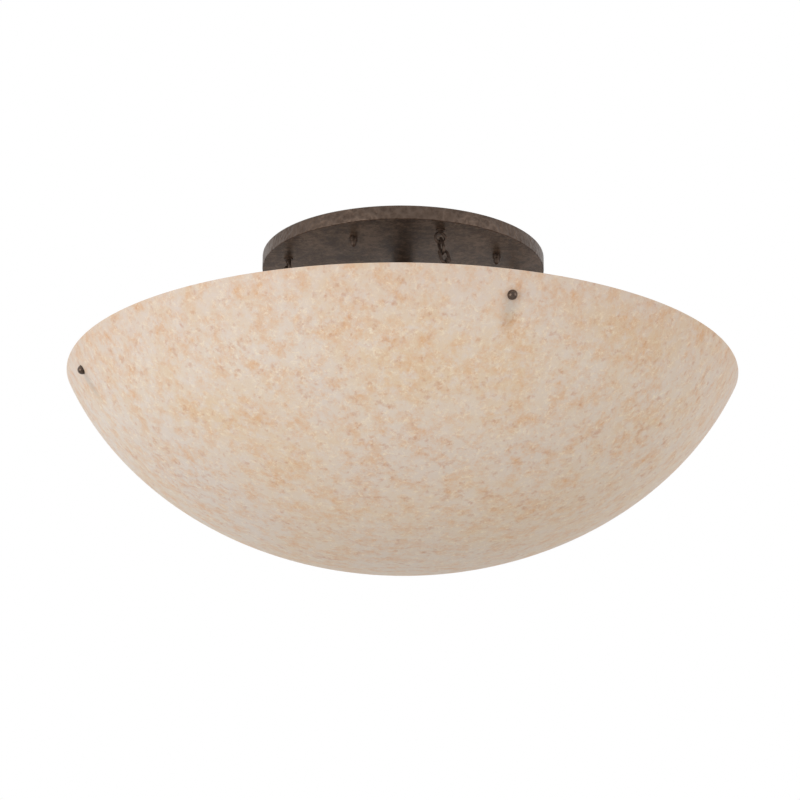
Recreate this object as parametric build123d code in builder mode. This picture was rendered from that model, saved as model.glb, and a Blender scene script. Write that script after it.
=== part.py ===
from build123d import *
from itertools import pairwise
from math import acos, atan2, cos, degrees, radians, sin, tan
import os

# Semi flush ceiling light: a glass bowl that four ball screws hold on a spider of strap arms,
# below a round canopy, with a stem in the middle and four chains around it. Millimetres, +Z up.
# The ceiling is Z = 0, the origin is the middle of the canopy, and -Y faces the room.

# ---- driving dimensions ----
BOWL_RADIUS = 305
BOWL_DEPTH = 168.3
BOWL_RIM_TURN = 68  # degrees of the bowl's ellipse, from its lowest point up to the rim
BOWL_BANDS = 8
GLASS = 5
RIM_Z = -121.9

CANOPY_RADIUS = 130.5
CANOPY_HEIGHT = 12.8
CANOPY_SHEET = 1.2

FIRST_RAY = 17.4  # degrees from +X: arms, chains and ball screws share four rays from the stem
ARM_RAYS = [FIRST_RAY + 90 * k for k in range(4)]
LAMP_RAYS = [ray + 45 for ray in ARM_RAYS]

PLATE_SIDE = 148
PLATE_CLIP = 10
PLATE_THICK = 2
BOX_SCREW_SPACING = 88.9
BOX_SCREW_HOLE = 2.2
STUD_CIRCLE = 96
STUD_RADIUS = 1.95
STUD_LENGTH = 18.3
CAP_NUT_FLATS = 7
CAP_NUT_HEX = 3.6
CAP_NUT_DOME = 5.4
CAP_NUT_TIP = 1.2
GROUND_SCREW_Y = -34
GROUND_SCREW_HEAD = (4, 2.6)

NIPPLE_RADIUS = 5
NIPPLE_BORE = 3.6
NIPPLE_TOP_Z = -0.2
NIPPLE_TIP_Z = -176
LOCKNUT_FLATS = 16
LOCKNUT_HEIGHT = 4
SLEEVE_RADIUS = 9
COLUMN_TOP_Z = -38
COLUMN_RADIUS = 15
COLUMN_WALL = 1.5

ARM_TOP_Z = -125
ARM_THICK = 3
ARM_WIDTH = 16
ARM_ROOT = 12
ARM_BEND = 3.5
TAB_BELOW_SCREW = 15
ARM_PLATE_FLATS = 72
RIVET_CIRCLE = 25
RIVET_RADIUS = 2
RIVET_HEAD = (3.5, 2)

CLUSTER_FLATS = 76  # across the can's eight walls, at its top
CLUSTER_HEIGHT = 36
CLUSTER_WALL = 1.6
COVER_FLATS = (60, 48)
COVER_THICK = 5
FINIAL = [(0, 8), (8, 7.2), (12, 4)]
LAMP_TILT = 15  # degrees below level
LAMP_AXIS_Z = -142  # where the lamps' axes meet the stem's axis
HOLDER_START = 42  # from that meeting point, out along a lamp's axis
HOLDER_RADIUS = 19
HOLDER_LENGTH = 42
HOLDER_BACK = 6
SHELL_RADIUS = 14
SHELL_END = 32
LAMP_FOOT = 8.2  # the lamp's contact end, from the back of its holder
LAMP_CAP_RADIUS = 12.9
LAMP_CAP_END = 38
LAMP_CAP_SHOULDER = 13
LAMP_CAP_FOOT = 9  # its radius at the contact end
LAMP_WIDEST = 84
# the lamp's glass each way from its widest ring, as (distance from that ring, radius)
LAMP_NECK = [(0, 30), (11, 26.5), (29, 16), (46, 13)]
LAMP_DOME = [(0, 30), (13, 28.5), (25, 20.5), (33, 8)]

SCREW_RADIUS = 2
SCREW_TIP = -15.5  # on a ball screw's axis, from the glass's outer face
GLASS_HOLE = 3.5
WASHER = (4.2, 0.6)
BALL_RADIUS = 4.1
PAD = (6, 0.8)
TAB_NUT = (7, 3.6)

EYE_RADIUS = 6
EYE_HOLE = 3.2
EYE_THICK = 2.8
EYE_SHANK = 1.9
EYE_COLLAR = (4.1, 1.4)
EYE_NUT = (7, 3.2)
EYE_CIRCLE = 110
EYE_STAND = 7.6  # from the sheet that an eye is fastened to, to the middle of its ring
CHAIN_LEAN = 34  # degrees from straight down
LINKS = 7  # an odd number, so both end links hook into eyes that face alike
LINK_WIRE = 2.8
LINK_WIDTH = 10.5
LINK_MITRE = 2.8
LINK_GAP = 0.2

TURNED_SIDES = 12  # flats of the balls, lamps, holders and washers
PIN_SIDES = 8  # flats of studs, rivets and other thin round pieces, and of their holes
THREAD_GAP = 0.06
CLEAR = 0.3

# ---- sizes and places worked out from them ----
RIM_TURN = radians(BOWL_RIM_TURN)
BOWL_ACROSS = BOWL_RADIUS / sin(RIM_TURN)  # the ellipse's half axes
BOWL_DEEP = BOWL_DEPTH / (1 - cos(RIM_TURN))
BOWL_MIDDLE_Z = RIM_Z + BOWL_DEEP * cos(RIM_TURN)

CANOPY_FLOOR_Z = CANOPY_SHEET - CANOPY_HEIGHT
ARM_PLATE_TOP_Z = ARM_TOP_Z + ARM_THICK
CLUSTER_TOP_Z = ARM_TOP_Z - ARM_THICK
CLUSTER_END_Z = CLUSTER_TOP_Z - CLUSTER_HEIGHT
COVER_END_Z = CLUSTER_END_Z - COVER_THICK

PAD_FACE = -(GLASS + 2 * CLEAR)
TAB_FACE = PAD_FACE - PAD[1]

EYE_RING = (EYE_RADIUS + EYE_HOLE) / 2
CANOPY_EYE_Z = -CANOPY_HEIGHT - EYE_STAND
ARM_EYE_Z = ARM_TOP_Z + EYE_STAND
CHAIN_TOP_Z = CANOPY_EYE_Z - EYE_RING
CHAIN_DROP = CHAIN_TOP_Z - ARM_EYE_Z - EYE_RING
ARM_EYE_CIRCLE = EYE_CIRCLE + CHAIN_DROP * tan(radians(CHAIN_LEAN))


def radial(ray, radius=0, height=0):
    """A plane whose X runs out along a ray and whose Y is up."""
    x, y = cos(radians(ray)), sin(radians(ray))
    return Plane((radius * x, radius * y, height), (x, y, 0), (y, -x, 0))


def facing(ray, radius, height, lean):
    """A plane that looks out along a ray, `lean` degrees below level."""
    upright = radial(ray, radius, height)
    outward = upright.x_dir * cos(radians(lean)) - upright.y_dir * sin(radians(lean))
    return Plane(upright.origin, upright.z_dir, outward)


def bowl_point(turn, inset=0):
    """Radius and height on the bowl's ellipse, `turn` radians up from its lowest point."""
    return (BOWL_ACROSS - inset) * sin(turn), BOWL_MIDDLE_Z - (BOWL_DEEP - inset) * cos(turn)


# the ball screws stand in the middle of the bowl's top band
rim = Vector(*bowl_point(RIM_TURN))
below_rim = Vector(*bowl_point(RIM_TURN * (1 - 1 / BOWL_BANDS)))
SEAT_RADIUS, SEAT_Z = (rim + below_rim).X / 2, (rim + below_rim).Y / 2
SEAT_LEAN = degrees(atan2(rim.X - below_rim.X, rim.Y - below_rim.Y))
SCREW_SEATS = [facing(ray, SEAT_RADIUS, SEAT_Z, SEAT_LEAN) for ray in ARM_RAYS]
LAMP_AXES = [facing(ray, 0, LAMP_AXIS_Z, LAMP_TILT).offset(HOLDER_START) for ray in LAMP_RAYS]

os.makedirs("parts", exist_ok=True)


def keep(piece, name):
    piece.part.label = name
    export_step(piece.part, f"parts/{name}.step")


def four(circle, ray=FIRST_RAY):
    return PolarLocations(circle, 4, start_angle=ray)


def turned(rings, sides=TURNED_SIDES):
    """A turned piece with flats, standing on the origin; its (height, radius) rings never widen."""
    with BuildPart() as piece:
        for (low, wide), (high, narrow) in pairwise(rings):
            with BuildSketch(Plane.XY.offset(low)):
                RegularPolygon(wide, sides, major_radius=False, rotation=180 / sides)
            extrude(amount=high - low, taper=degrees(atan2(wide - narrow, high - low)))
    return piece.part


# ---- ceiling side: a square plate on the junction box, and the canopy below it ----
with BuildPart() as mounting_plate:
    with BuildSketch():
        square = Rectangle(PLATE_SIDE, PLATE_SIDE, rotation=FIRST_RAY)
        chamfer(square.vertices(), PLATE_CLIP)
        Circle(NIPPLE_RADIUS + THREAD_GAP, mode=Mode.SUBTRACT)
        with GridLocations(BOX_SCREW_SPACING, 0, 2, 1):
            Circle(BOX_SCREW_HOLE, mode=Mode.SUBTRACT)
        with Locations((0, GROUND_SCREW_Y)):
            RegularPolygon(STUD_RADIUS + THREAD_GAP, PIN_SIDES, mode=Mode.SUBTRACT)
        with four(STUD_CIRCLE, LAMP_RAYS[0]):
            RegularPolygon(STUD_RADIUS + THREAD_GAP, PIN_SIDES, mode=Mode.SUBTRACT)
    extrude(amount=-PLATE_THICK)
keep(mounting_plate, "mounting_plate")

with BuildPart() as ground_screw:
    with BuildSketch():
        with Locations((0, GROUND_SCREW_Y)):
            RegularPolygon(STUD_RADIUS, PIN_SIDES)
    extrude(amount=-PLATE_THICK)
    with BuildSketch(Plane.XY.offset(-PLATE_THICK)):
        with Locations((0, GROUND_SCREW_Y)):
            RegularPolygon(GROUND_SCREW_HEAD[0], 6)
    extrude(amount=-GROUND_SCREW_HEAD[1])
keep(ground_screw, "ground_screw")

with BuildPart() as canopy_studs:
    with BuildSketch():
        with four(STUD_CIRCLE, LAMP_RAYS[0]):
            RegularPolygon(STUD_RADIUS, PIN_SIDES)
    extrude(amount=-STUD_LENGTH)
keep(canopy_studs, "canopy_studs")

with BuildPart() as ceiling_canopy:
    with BuildSketch():
        Circle(CANOPY_RADIUS)
    extrude(amount=-CANOPY_HEIGHT)
    offset(amount=-CANOPY_SHEET, openings=ceiling_canopy.faces().sort_by(Axis.Z)[-1])
    with BuildSketch(Plane.XY.offset(CANOPY_FLOOR_Z)):
        Circle(NIPPLE_RADIUS + CLEAR)
        with four(STUD_CIRCLE, LAMP_RAYS[0]):
            RegularPolygon(STUD_RADIUS + CLEAR, PIN_SIDES)
        with four(EYE_CIRCLE):
            RegularPolygon(EYE_SHANK + CLEAR, PIN_SIDES)
    extrude(amount=-CANOPY_SHEET, mode=Mode.SUBTRACT)
keep(ceiling_canopy, "ceiling_canopy")

with BuildPart() as cap_nuts:
    with BuildSketch(Plane.XY.offset(-CANOPY_HEIGHT)):
        with four(STUD_CIRCLE, LAMP_RAYS[0]):
            RegularPolygon(CAP_NUT_FLATS / 2, 6, major_radius=False)
    extrude(amount=-CAP_NUT_HEX)
    dome = turned([(0, CAP_NUT_FLATS / 2 - CLEAR), (CAP_NUT_DOME, CAP_NUT_TIP)], PIN_SIDES)
    with Locations((0, 0, -CANOPY_HEIGHT - CAP_NUT_HEX)):
        with four(STUD_CIRCLE, LAMP_RAYS[0]):
            add(dome, rotation=(180, 0, 0))
    with BuildSketch(Plane.XY.offset(-CANOPY_HEIGHT)):
        with four(STUD_CIRCLE, LAMP_RAYS[0]):
            RegularPolygon(STUD_RADIUS + THREAD_GAP, PIN_SIDES)
    extrude(amount=CANOPY_HEIGHT - STUD_LENGTH - CLEAR, mode=Mode.SUBTRACT)
keep(cap_nuts, "cap_nuts")

# ---- stem: a hollow threaded nipple from the plate to the finial, with sleeves over it ----
with BuildPart() as stem_nipple:
    with BuildSketch(Plane.XY.offset(NIPPLE_TOP_Z)):
        Circle(NIPPLE_RADIUS)
        Circle(NIPPLE_BORE, mode=Mode.SUBTRACT)
    extrude(amount=NIPPLE_TIP_Z - NIPPLE_TOP_Z)
keep(stem_nipple, "stem_nipple")

with BuildPart() as stem_locknut:
    with BuildSketch(Plane.XY.offset(-PLATE_THICK)):
        RegularPolygon(LOCKNUT_FLATS / 2, 6, major_radius=False)
        Circle(NIPPLE_RADIUS + THREAD_GAP, mode=Mode.SUBTRACT)
    extrude(amount=-LOCKNUT_HEIGHT)
keep(stem_locknut, "stem_locknut")

with BuildPart() as stem_sleeve:
    with BuildSketch(Plane.XY.offset(-CANOPY_HEIGHT)):
        Circle(SLEEVE_RADIUS)
        Circle(NIPPLE_RADIUS + CLEAR, mode=Mode.SUBTRACT)
    extrude(amount=COLUMN_TOP_Z + CANOPY_HEIGHT)
keep(stem_sleeve, "stem_sleeve")

with BuildPart() as stem_column:
    with BuildSketch(Plane.XY.offset(COLUMN_TOP_Z)):
        Circle(COLUMN_RADIUS)
    extrude(amount=ARM_PLATE_TOP_Z - COLUMN_TOP_Z)
    offset(amount=-COLUMN_WALL, openings=stem_column.faces().sort_by(Axis.Z)[0])
    Hole(NIPPLE_RADIUS + CLEAR)
keep(stem_column, "stem_column")

# ---- spider: an eight-sided plate and the lamp cluster's can grip four strap arms ----
with BuildPart() as arm_plate:
    with BuildSketch(Plane.XY.offset(ARM_TOP_Z)):
        RegularPolygon(ARM_PLATE_FLATS / 2, 8, major_radius=False, rotation=FIRST_RAY + 22.5)
        Circle(NIPPLE_RADIUS + CLEAR, mode=Mode.SUBTRACT)
        with four(RIVET_CIRCLE):
            RegularPolygon(RIVET_RADIUS + THREAD_GAP, PIN_SIDES, mode=Mode.SUBTRACT)
    extrude(amount=ARM_THICK)
keep(arm_plate, "arm_plate")


def strap_arm(ray):
    """A flat strap that runs out level, then turns down along the inside of the glass."""
    across, down = cos(radians(SEAT_LEAN)), sin(radians(SEAT_LEAN))
    tab_middle = TAB_FACE - ARM_THICK / 2
    level = ARM_TOP_Z - ARM_THICK / 2
    at_screw = Vector(SEAT_RADIUS + tab_middle * across, SEAT_Z - tab_middle * down)
    corner = at_screw + Vector(down, across) * ((level - at_screw.Y) / across)
    tip = at_screw - Vector(down, across) * TAB_BELOW_SCREW
    with BuildPart() as arm:
        with BuildSketch(radial(ray)):
            with BuildLine():
                FilletPolyline((ARM_ROOT, level), corner, tip, radius=ARM_BEND)
            trace(line_width=ARM_THICK)
        extrude(amount=ARM_WIDTH / 2, both=True)
        with BuildSketch(Plane.XY.offset(ARM_TOP_Z)):
            with Locations(radial(ray, RIVET_CIRCLE).origin):
                RegularPolygon(RIVET_RADIUS + THREAD_GAP, PIN_SIDES, rotation=ray)
            with Locations(radial(ray, ARM_EYE_CIRCLE).origin):
                RegularPolygon(EYE_SHANK + THREAD_GAP, PIN_SIDES, rotation=ray)
        extrude(amount=-ARM_THICK, mode=Mode.SUBTRACT)
        with BuildSketch(facing(ray, SEAT_RADIUS, SEAT_Z, SEAT_LEAN).offset(TAB_FACE)):
            RegularPolygon(SCREW_RADIUS + CLEAR, TURNED_SIDES, major_radius=False)
        extrude(amount=-ARM_THICK, mode=Mode.SUBTRACT)
    return arm


for number, ray in enumerate(ARM_RAYS, 1):
    keep(strap_arm(ray), f"arm_{number}")

rivet_tail_z = CLUSTER_TOP_Z - CLUSTER_WALL
with BuildPart() as arm_rivets:
    for radius, low, high in (
        (RIVET_HEAD[0], ARM_PLATE_TOP_Z, ARM_PLATE_TOP_Z + RIVET_HEAD[1]),
        (RIVET_RADIUS, rivet_tail_z, ARM_PLATE_TOP_Z),
        (RIVET_HEAD[0], rivet_tail_z - RIVET_HEAD[1], rivet_tail_z),
    ):
        with BuildSketch(Plane.XY.offset(low)):
            with four(RIVET_CIRCLE):
                RegularPolygon(radius, PIN_SIDES)
        extrude(amount=high - low)
keep(arm_rivets, "arm_rivets")

# ---- lamp cluster: a can whose eight walls stand square to the lamps' axes ----
with BuildPart() as cluster_can:
    can_end = CLUSTER_FLATS / 2 - CLUSTER_HEIGHT * tan(radians(LAMP_TILT))
    with Locations(facing(FIRST_RAY, 0, CLUSTER_TOP_Z, 90)):
        add(turned([(0, CLUSTER_FLATS / 2), (CLUSTER_HEIGHT, can_end)], 8))
    offset(amount=-CLUSTER_WALL, openings=cluster_can.faces().sort_by(Axis.Z)[0])
    with Locations((0, 0, CLUSTER_TOP_Z)):
        Hole(NIPPLE_RADIUS + CLEAR, depth=CLUSTER_WALL)
    with BuildSketch(Plane.XY.offset(CLUSTER_TOP_Z)):
        with four(RIVET_CIRCLE):
            RegularPolygon(RIVET_RADIUS + THREAD_GAP, PIN_SIDES)
    extrude(amount=-CLUSTER_WALL, mode=Mode.SUBTRACT)
    for axis in LAMP_AXES:
        with BuildSketch(axis):
            RegularPolygon(NIPPLE_RADIUS + CLEAR, TURNED_SIDES)
    extrude(amount=-HOLDER_START / 2, mode=Mode.SUBTRACT)
keep(cluster_can, "cluster_can")

with BuildPart() as cluster_cover:
    with Locations(facing(FIRST_RAY, 0, CLUSTER_END_Z, 90)):
        add(turned([(0, COVER_FLATS[0] / 2), (COVER_THICK, COVER_FLATS[1] / 2)], 8))
    with Locations((0, 0, CLUSTER_END_Z)):
        Hole(NIPPLE_RADIUS + CLEAR, depth=COVER_THICK)
keep(cluster_cover, "cluster_cover")

with BuildPart() as cluster_finial:
    with Locations((0, 0, COVER_END_Z)):
        add(turned(FINIAL), rotation=(180, 0, 0))
        Hole(NIPPLE_RADIUS + THREAD_GAP, depth=COVER_END_Z - NIPPLE_TIP_Z + CLEAR)
keep(cluster_finial, "cluster_finial")

with BuildPart() as holder_nipples:
    for axis in LAMP_AXES:
        with BuildSketch(axis.offset(HOLDER_BACK - 1)):
            RegularPolygon(NIPPLE_RADIUS, TURNED_SIDES)
            RegularPolygon(NIPPLE_BORE, TURNED_SIDES, mode=Mode.SUBTRACT)
    extrude(amount=-HOLDER_START / 2)
keep(holder_nipples, "holder_nipples")


def lampholder(axis):
    """A cup, bored for the brass screw shell and wider at its mouth."""
    with BuildPart() as holder:
        with BuildSketch(axis):
            RegularPolygon(HOLDER_RADIUS, TURNED_SIDES, major_radius=False)
            RegularPolygon(NIPPLE_RADIUS + THREAD_GAP, TURNED_SIDES, mode=Mode.SUBTRACT)
        extrude(amount=HOLDER_LENGTH)
        for start, end, radius in (
            (HOLDER_BACK, SHELL_END, SHELL_RADIUS + THREAD_GAP),
            (SHELL_END, HOLDER_LENGTH, SHELL_RADIUS + 2),
        ):
            with BuildSketch(axis.offset(start)):
                RegularPolygon(radius, TURNED_SIDES, major_radius=False)
            extrude(amount=end - start, mode=Mode.SUBTRACT)
    return holder


def screw_shell(axis):
    with BuildPart() as shell:
        with BuildSketch(axis.offset(LAMP_FOOT)):
            RegularPolygon(SHELL_RADIUS, TURNED_SIDES, major_radius=False)
            bore = LAMP_CAP_RADIUS + 2 * CLEAR
            RegularPolygon(bore, TURNED_SIDES, major_radius=False, mode=Mode.SUBTRACT)
        extrude(amount=SHELL_END - LAMP_FOOT)
    return shell


def lamp_cap(axis):
    """The lamp's metal cap, from the neck of its glass down to its contact end."""
    straight = LAMP_CAP_END - LAMP_CAP_SHOULDER
    rings = [(0, LAMP_CAP_RADIUS), (straight, LAMP_CAP_RADIUS), (LAMP_CAP_END - LAMP_FOOT, LAMP_CAP_FOOT)]
    with BuildPart() as cap:
        with Locations(axis.offset(LAMP_CAP_END)):
            add(turned(rings), rotation=(180, 0, 0))
    return cap


def lamp_glass(axis):
    """A pear-shaped bulb in tapered bands, towards its neck and towards its dome."""
    with BuildPart() as bulb:
        with Locations(axis.offset(LAMP_WIDEST)):
            add(turned(LAMP_DOME))
            add(turned(LAMP_NECK), rotation=(180, 0, 0))
    return bulb


for number, axis in enumerate(LAMP_AXES, 1):
    keep(lampholder(axis), f"lampholder_{number}")
    keep(screw_shell(axis), f"screw_shell_{number}")
    keep(lamp_cap(axis), f"lamp_cap_{number}")
    keep(lamp_glass(axis), f"lamp_glass_{number}")

with BuildPart() as holder_contacts:
    for axis in LAMP_AXES:
        with BuildSketch(axis.offset(HOLDER_BACK)):
            RegularPolygon(NIPPLE_RADIUS + 2, PIN_SIDES)
    extrude(amount=LAMP_FOOT - HOLDER_BACK - CLEAR)
keep(holder_contacts, "holder_contacts")


# ---- chains: eyes under the canopy and on the arms, with interlocking links between them ----
def eye_bolts(circle, ring_z, tip_z):
    """Four eye bolts: a flat ring that faces out from the stem, a collar, and a shank to tip_z."""
    way = 1 if tip_z > ring_z else -1
    neck_z = ring_z + way * EYE_RING
    with BuildPart() as bolts:
        for ray in ARM_RAYS:
            with BuildSketch(facing(ray, circle, ring_z, 0)):
                RegularPolygon(EYE_RADIUS, PIN_SIDES, rotation=22.5)
                RegularPolygon(EYE_HOLE, PIN_SIDES, rotation=22.5, mode=Mode.SUBTRACT)
        extrude(amount=EYE_THICK / 2, both=True)
        with BuildSketch(Plane.XY.offset(neck_z)):
            with four(circle):
                RegularPolygon(EYE_SHANK, PIN_SIDES)
        extrude(amount=tip_z - neck_z)
        with BuildSketch(Plane.XY.offset(ring_z + way * EYE_STAND)):
            with four(circle):
                RegularPolygon(EYE_COLLAR[0], PIN_SIDES)
        extrude(amount=-way * EYE_COLLAR[1])
    return bolts


canopy_nut_z = CANOPY_FLOOR_Z + EYE_NUT[1]
arm_nut_z = CLUSTER_TOP_Z - EYE_NUT[1]
keep(eye_bolts(EYE_CIRCLE, CANOPY_EYE_Z, canopy_nut_z + CLEAR), "canopy_eyes")
keep(eye_bolts(ARM_EYE_CIRCLE, ARM_EYE_Z, arm_nut_z - CLEAR), "arm_eyes")

with BuildPart() as eye_nuts:
    for circle, low in ((EYE_CIRCLE, CANOPY_FLOOR_Z), (ARM_EYE_CIRCLE, arm_nut_z)):
        with BuildSketch(Plane.XY.offset(low)):
            with four(circle):
                RegularPolygon(EYE_NUT[0] / 2, 6, major_radius=False)
                RegularPolygon(EYE_SHANK + THREAD_GAP, PIN_SIDES, mode=Mode.SUBTRACT)
        extrude(amount=EYE_NUT[1])
keep(eye_nuts, "eye_nuts")


def chain(ray):
    """Links whose ends hook into each other, every second one turned a quarter about the chain."""
    lean = radians(CHAIN_LEAN)
    wire = (EYE_RADIUS - EYE_HOLE) / 2
    hook = wire * (cos(lean) + sin(lean)) + 2 * CLEAR  # round the corner of an eye's ring
    window = (CHAIN_DROP / cos(lean) + 2 * hook + (LINKS - 1) * LINK_GAP) / LINKS
    middles = [window / 2 - hook + k * (window - LINK_GAP) for k in range(LINKS)]
    upright = radial(ray, EYE_CIRCLE, CHAIN_TOP_Z)
    line = upright.x_dir * sin(lean) - upright.y_dir * cos(lean)
    normals = (upright.z_dir, line.cross(upright.z_dir))
    with BuildPart() as links:
        for first, normal in enumerate(normals):
            with BuildSketch(Plane(upright.origin, line, normal)):
                with Locations(*[(middle, 0) for middle in middles[first::2]]):
                    outline = Rectangle(window + 2 * LINK_WIRE, LINK_WIDTH)
                    chamfer(outline.vertices(), LINK_MITRE)
                    Rectangle(window, LINK_WIDTH - 2 * LINK_WIRE, mode=Mode.SUBTRACT)
        extrude(amount=LINK_WIRE / 2, both=True)
    return links


for number, ray in enumerate(ARM_RAYS, 1):
    keep(chain(ray), f"chain_{number}")

# ---- bowl and its ball screws ----
with BuildPart() as glass_bowl:
    with BuildSketch(Plane.XZ):
        inner_turn = acos((BOWL_MIDDLE_Z - RIM_Z) / (BOWL_DEEP - GLASS))
        steps = [k / BOWL_BANDS for k in range(BOWL_BANDS + 1)]
        with BuildLine():
            outside = Polyline(*[bowl_point(RIM_TURN * step) for step in steps])
            inside = Polyline(*[bowl_point(inner_turn * step, GLASS) for step in steps])
            Line(outside @ 0, inside @ 0)
            Line(outside @ 1, inside @ 1)
        make_face()
    revolve(axis=Axis.Z)
    for seat in SCREW_SEATS:
        with BuildSketch(seat.offset(GLASS)):
            RegularPolygon(GLASS_HOLE, TURNED_SIDES)
    extrude(amount=-3 * GLASS, mode=Mode.SUBTRACT)
keep(glass_bowl, "glass_bowl")


def ball_screw(seat):
    """A half ball on a shank that runs through washer, glass, pad and arm into the tab's nut."""
    foot = WASHER[1] + CLEAR
    turns = [radians(25 * k) for k in range(4)]
    with BuildPart() as screw:
        with Locations(seat.offset(foot)):
            add(turned([(BALL_RADIUS * sin(turn), BALL_RADIUS * cos(turn)) for turn in turns]))
        with BuildSketch(seat.offset(SCREW_TIP)):
            Circle(SCREW_RADIUS)
        extrude(amount=foot + BALL_RADIUS / 2 - SCREW_TIP)
    return screw


def rings_on_screws(start, outer, thick):
    """The same washer on all four ball screws."""
    with BuildPart() as washers:
        for seat in SCREW_SEATS:
            with BuildSketch(seat.offset(start)):
                RegularPolygon(outer, TURNED_SIDES)
                bore = SCREW_RADIUS + CLEAR
                RegularPolygon(bore, PIN_SIDES, major_radius=False, mode=Mode.SUBTRACT)
        extrude(amount=thick)
    return washers


for number, seat in enumerate(SCREW_SEATS, 1):
    keep(ball_screw(seat), f"ball_screw_{number}")
keep(rings_on_screws(0, *WASHER), "glass_washers")
keep(rings_on_screws(TAB_FACE, *PAD), "glass_pads")

with BuildPart() as tab_nuts:
    for seat in SCREW_SEATS:
        with BuildSketch(seat.offset(TAB_FACE - ARM_THICK)):
            RegularPolygon(TAB_NUT[0] / 2, 6, major_radius=False)
            bore = SCREW_RADIUS + THREAD_GAP
            RegularPolygon(bore, TURNED_SIDES, major_radius=False, mode=Mode.SUBTRACT)
    extrude(amount=-TAB_NUT[1])
keep(tab_nuts, "tab_nuts")
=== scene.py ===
from math import cos, radians, sin
import bmesh
import bpy
import numpy as np
from mathutils import Matrix, Vector


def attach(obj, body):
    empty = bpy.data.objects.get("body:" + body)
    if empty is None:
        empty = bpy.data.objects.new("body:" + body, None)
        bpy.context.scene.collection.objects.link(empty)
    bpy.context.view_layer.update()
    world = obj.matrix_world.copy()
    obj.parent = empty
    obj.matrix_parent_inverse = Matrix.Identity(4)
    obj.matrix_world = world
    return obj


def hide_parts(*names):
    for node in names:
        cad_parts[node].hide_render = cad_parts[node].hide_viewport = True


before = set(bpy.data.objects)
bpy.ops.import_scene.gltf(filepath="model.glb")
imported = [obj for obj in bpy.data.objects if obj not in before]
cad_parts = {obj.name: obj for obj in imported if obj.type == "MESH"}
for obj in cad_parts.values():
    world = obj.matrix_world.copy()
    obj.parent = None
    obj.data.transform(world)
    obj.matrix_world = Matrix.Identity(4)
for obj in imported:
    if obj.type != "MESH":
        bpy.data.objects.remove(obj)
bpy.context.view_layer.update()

# A semi flush ceiling light: the finished surfaces of its mottled glass bowl, hammered canopy,
# chains, ball screws, lamps and holders. +Z is up and the ceiling is at Z = 0. Shapes are in
# millimetres until they become a mesh; materials, lights and the camera are in metres.

MM = 0.001
UP = np.array([0, 0, 1.0])
RAYS = [17.4 + 90 * k for k in range(4)]        # degrees: arms, chains and ball screws
LAMP_RAYS = [ray + 45 for ray in RAYS]          # lamps, studs and cap nuts

# ---- the bowl's ellipse and the places that follow from it ----
RIM_RADIUS, RIM_Z, DEPTH, GLASS = 305.0, -121.9, 168.3, 5.0
RIM_TURN = radians(68)                          # the rim's turn up from the lowest point
ACROSS = RIM_RADIUS / sin(RIM_TURN)             # the ellipse's two half axes
DEEP = DEPTH / (1 - cos(RIM_TURN))
MIDDLE_Z = RIM_Z + DEEP * cos(RIM_TURN)
SEAT_TURN = RIM_TURN * 15 / 16
SEAT_LEAN = 31.082                              # degrees below level, the way a ball screw points
SEAT = (294.218, -139.787)                      # radius and height where the washers sit
HOLE_RADIUS, HOLE_CELLS, FADE_CELLS = 3.5, 2, 7     # a ball screw's hole, and the grid around it
COLUMNS, SEAT_ROW, ROWS_ABOVE = 240, 70, 8      # the bowl's grid
LIP_TURN, LIP_RADIUS = 0.004, 1.1               # where the rounded rim starts, and its radius

# ---- canopy, stem and spider ----
CANOPY_RADIUS, CANOPY_HEIGHT, CANOPY_SHEET, CANOPY_EDGE = 130.5, 12.8, 1.2, 0.9
STUD_CIRCLE, STUD_RADIUS, STUD_TIP = 96, 1.95, -18.3
STEM_RADIUS, STEM_BORE, STEM_PITCH, THREAD_DEPTH = 5.0, 3.6, 1.27, 0.5
STEM_TOP, STEM_TIP, LOCKNUT_Z = -0.2, -176.0, -6.0
TAPPED, CLEARS = 5.06, 5.3                      # holes that fit the stem's thread, or clear it
SLEEVE_END, COLUMN_FLOOR, ARM_TOP, ARM_UNDERSIDE = -38, -39.5, -122, -129.6
COLUMN_RADIUS, COLUMN_BORE = 15, 13.5
RIVET_CIRCLE = 25
GROUND_SCREW = np.array([0, -34, 0])

# ---- lamps ----
LAMP_AXIS_Z, LAMP_LEAN, CAN_REACH = -142, 15, 42
HOLDER_FLOOR, LAMP_FOOT, CAP_END = 6, 8.2, 38   # along a lamp's axis, from the can's face

# ---- eye bolts and chains ----
EYE_MIDDLE, EYE_WIRE = 4.6, 2.8                 # radius of a ring's middle line, and its wire
SHANK_RADIUS = 1.9
EYE_CIRCLE, CANOPY_EYE_Z, ARM_EYE_Z = 110, -20.4, -117.4
CANOPY_EYE_TIP, ARM_EYE_TIP = -8.1, -131.5
CANOPY_EYE_NUT, ARM_EYE_NUT = -11.6, -131.2     # the height of each nut's lower face
CHAIN_LEAN = radians(34)
CHAIN_TOP_Z = CANOPY_EYE_Z - EYE_MIDDLE
CHAIN_DROP = CHAIN_TOP_Z - ARM_EYE_Z - EYE_MIDDLE
ARM_EYE_CIRCLE = EYE_CIRCLE + CHAIN_DROP * np.tan(CHAIN_LEAN)
LINKS, LINK_WIRE, LINK_WIDTH, LINK_GAP = 7, 2.8, 10.5, 0.2

# ---- ball screws ----
BALL_RADIUS, BALL_FOOT, SCREW_TIP = 4.1, 1.1, -15.5     # heights from the seat, outwards
TAB_NUT = -13.0


# ---- places ----
def facing(ray, radius, height, lean):
    """Origin and axes (columns x, y, z) of a plane that looks out along a ray, and lean degrees
    below level."""
    out = np.array([cos(radians(ray)), sin(radians(ray)), 0.0])
    z = out * cos(radians(lean)) - UP * sin(radians(lean))
    x = np.array([out[1], -out[0], 0.0])
    return radius * out + height * UP, np.stack([x, np.cross(z, x), z], axis=1)


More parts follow.
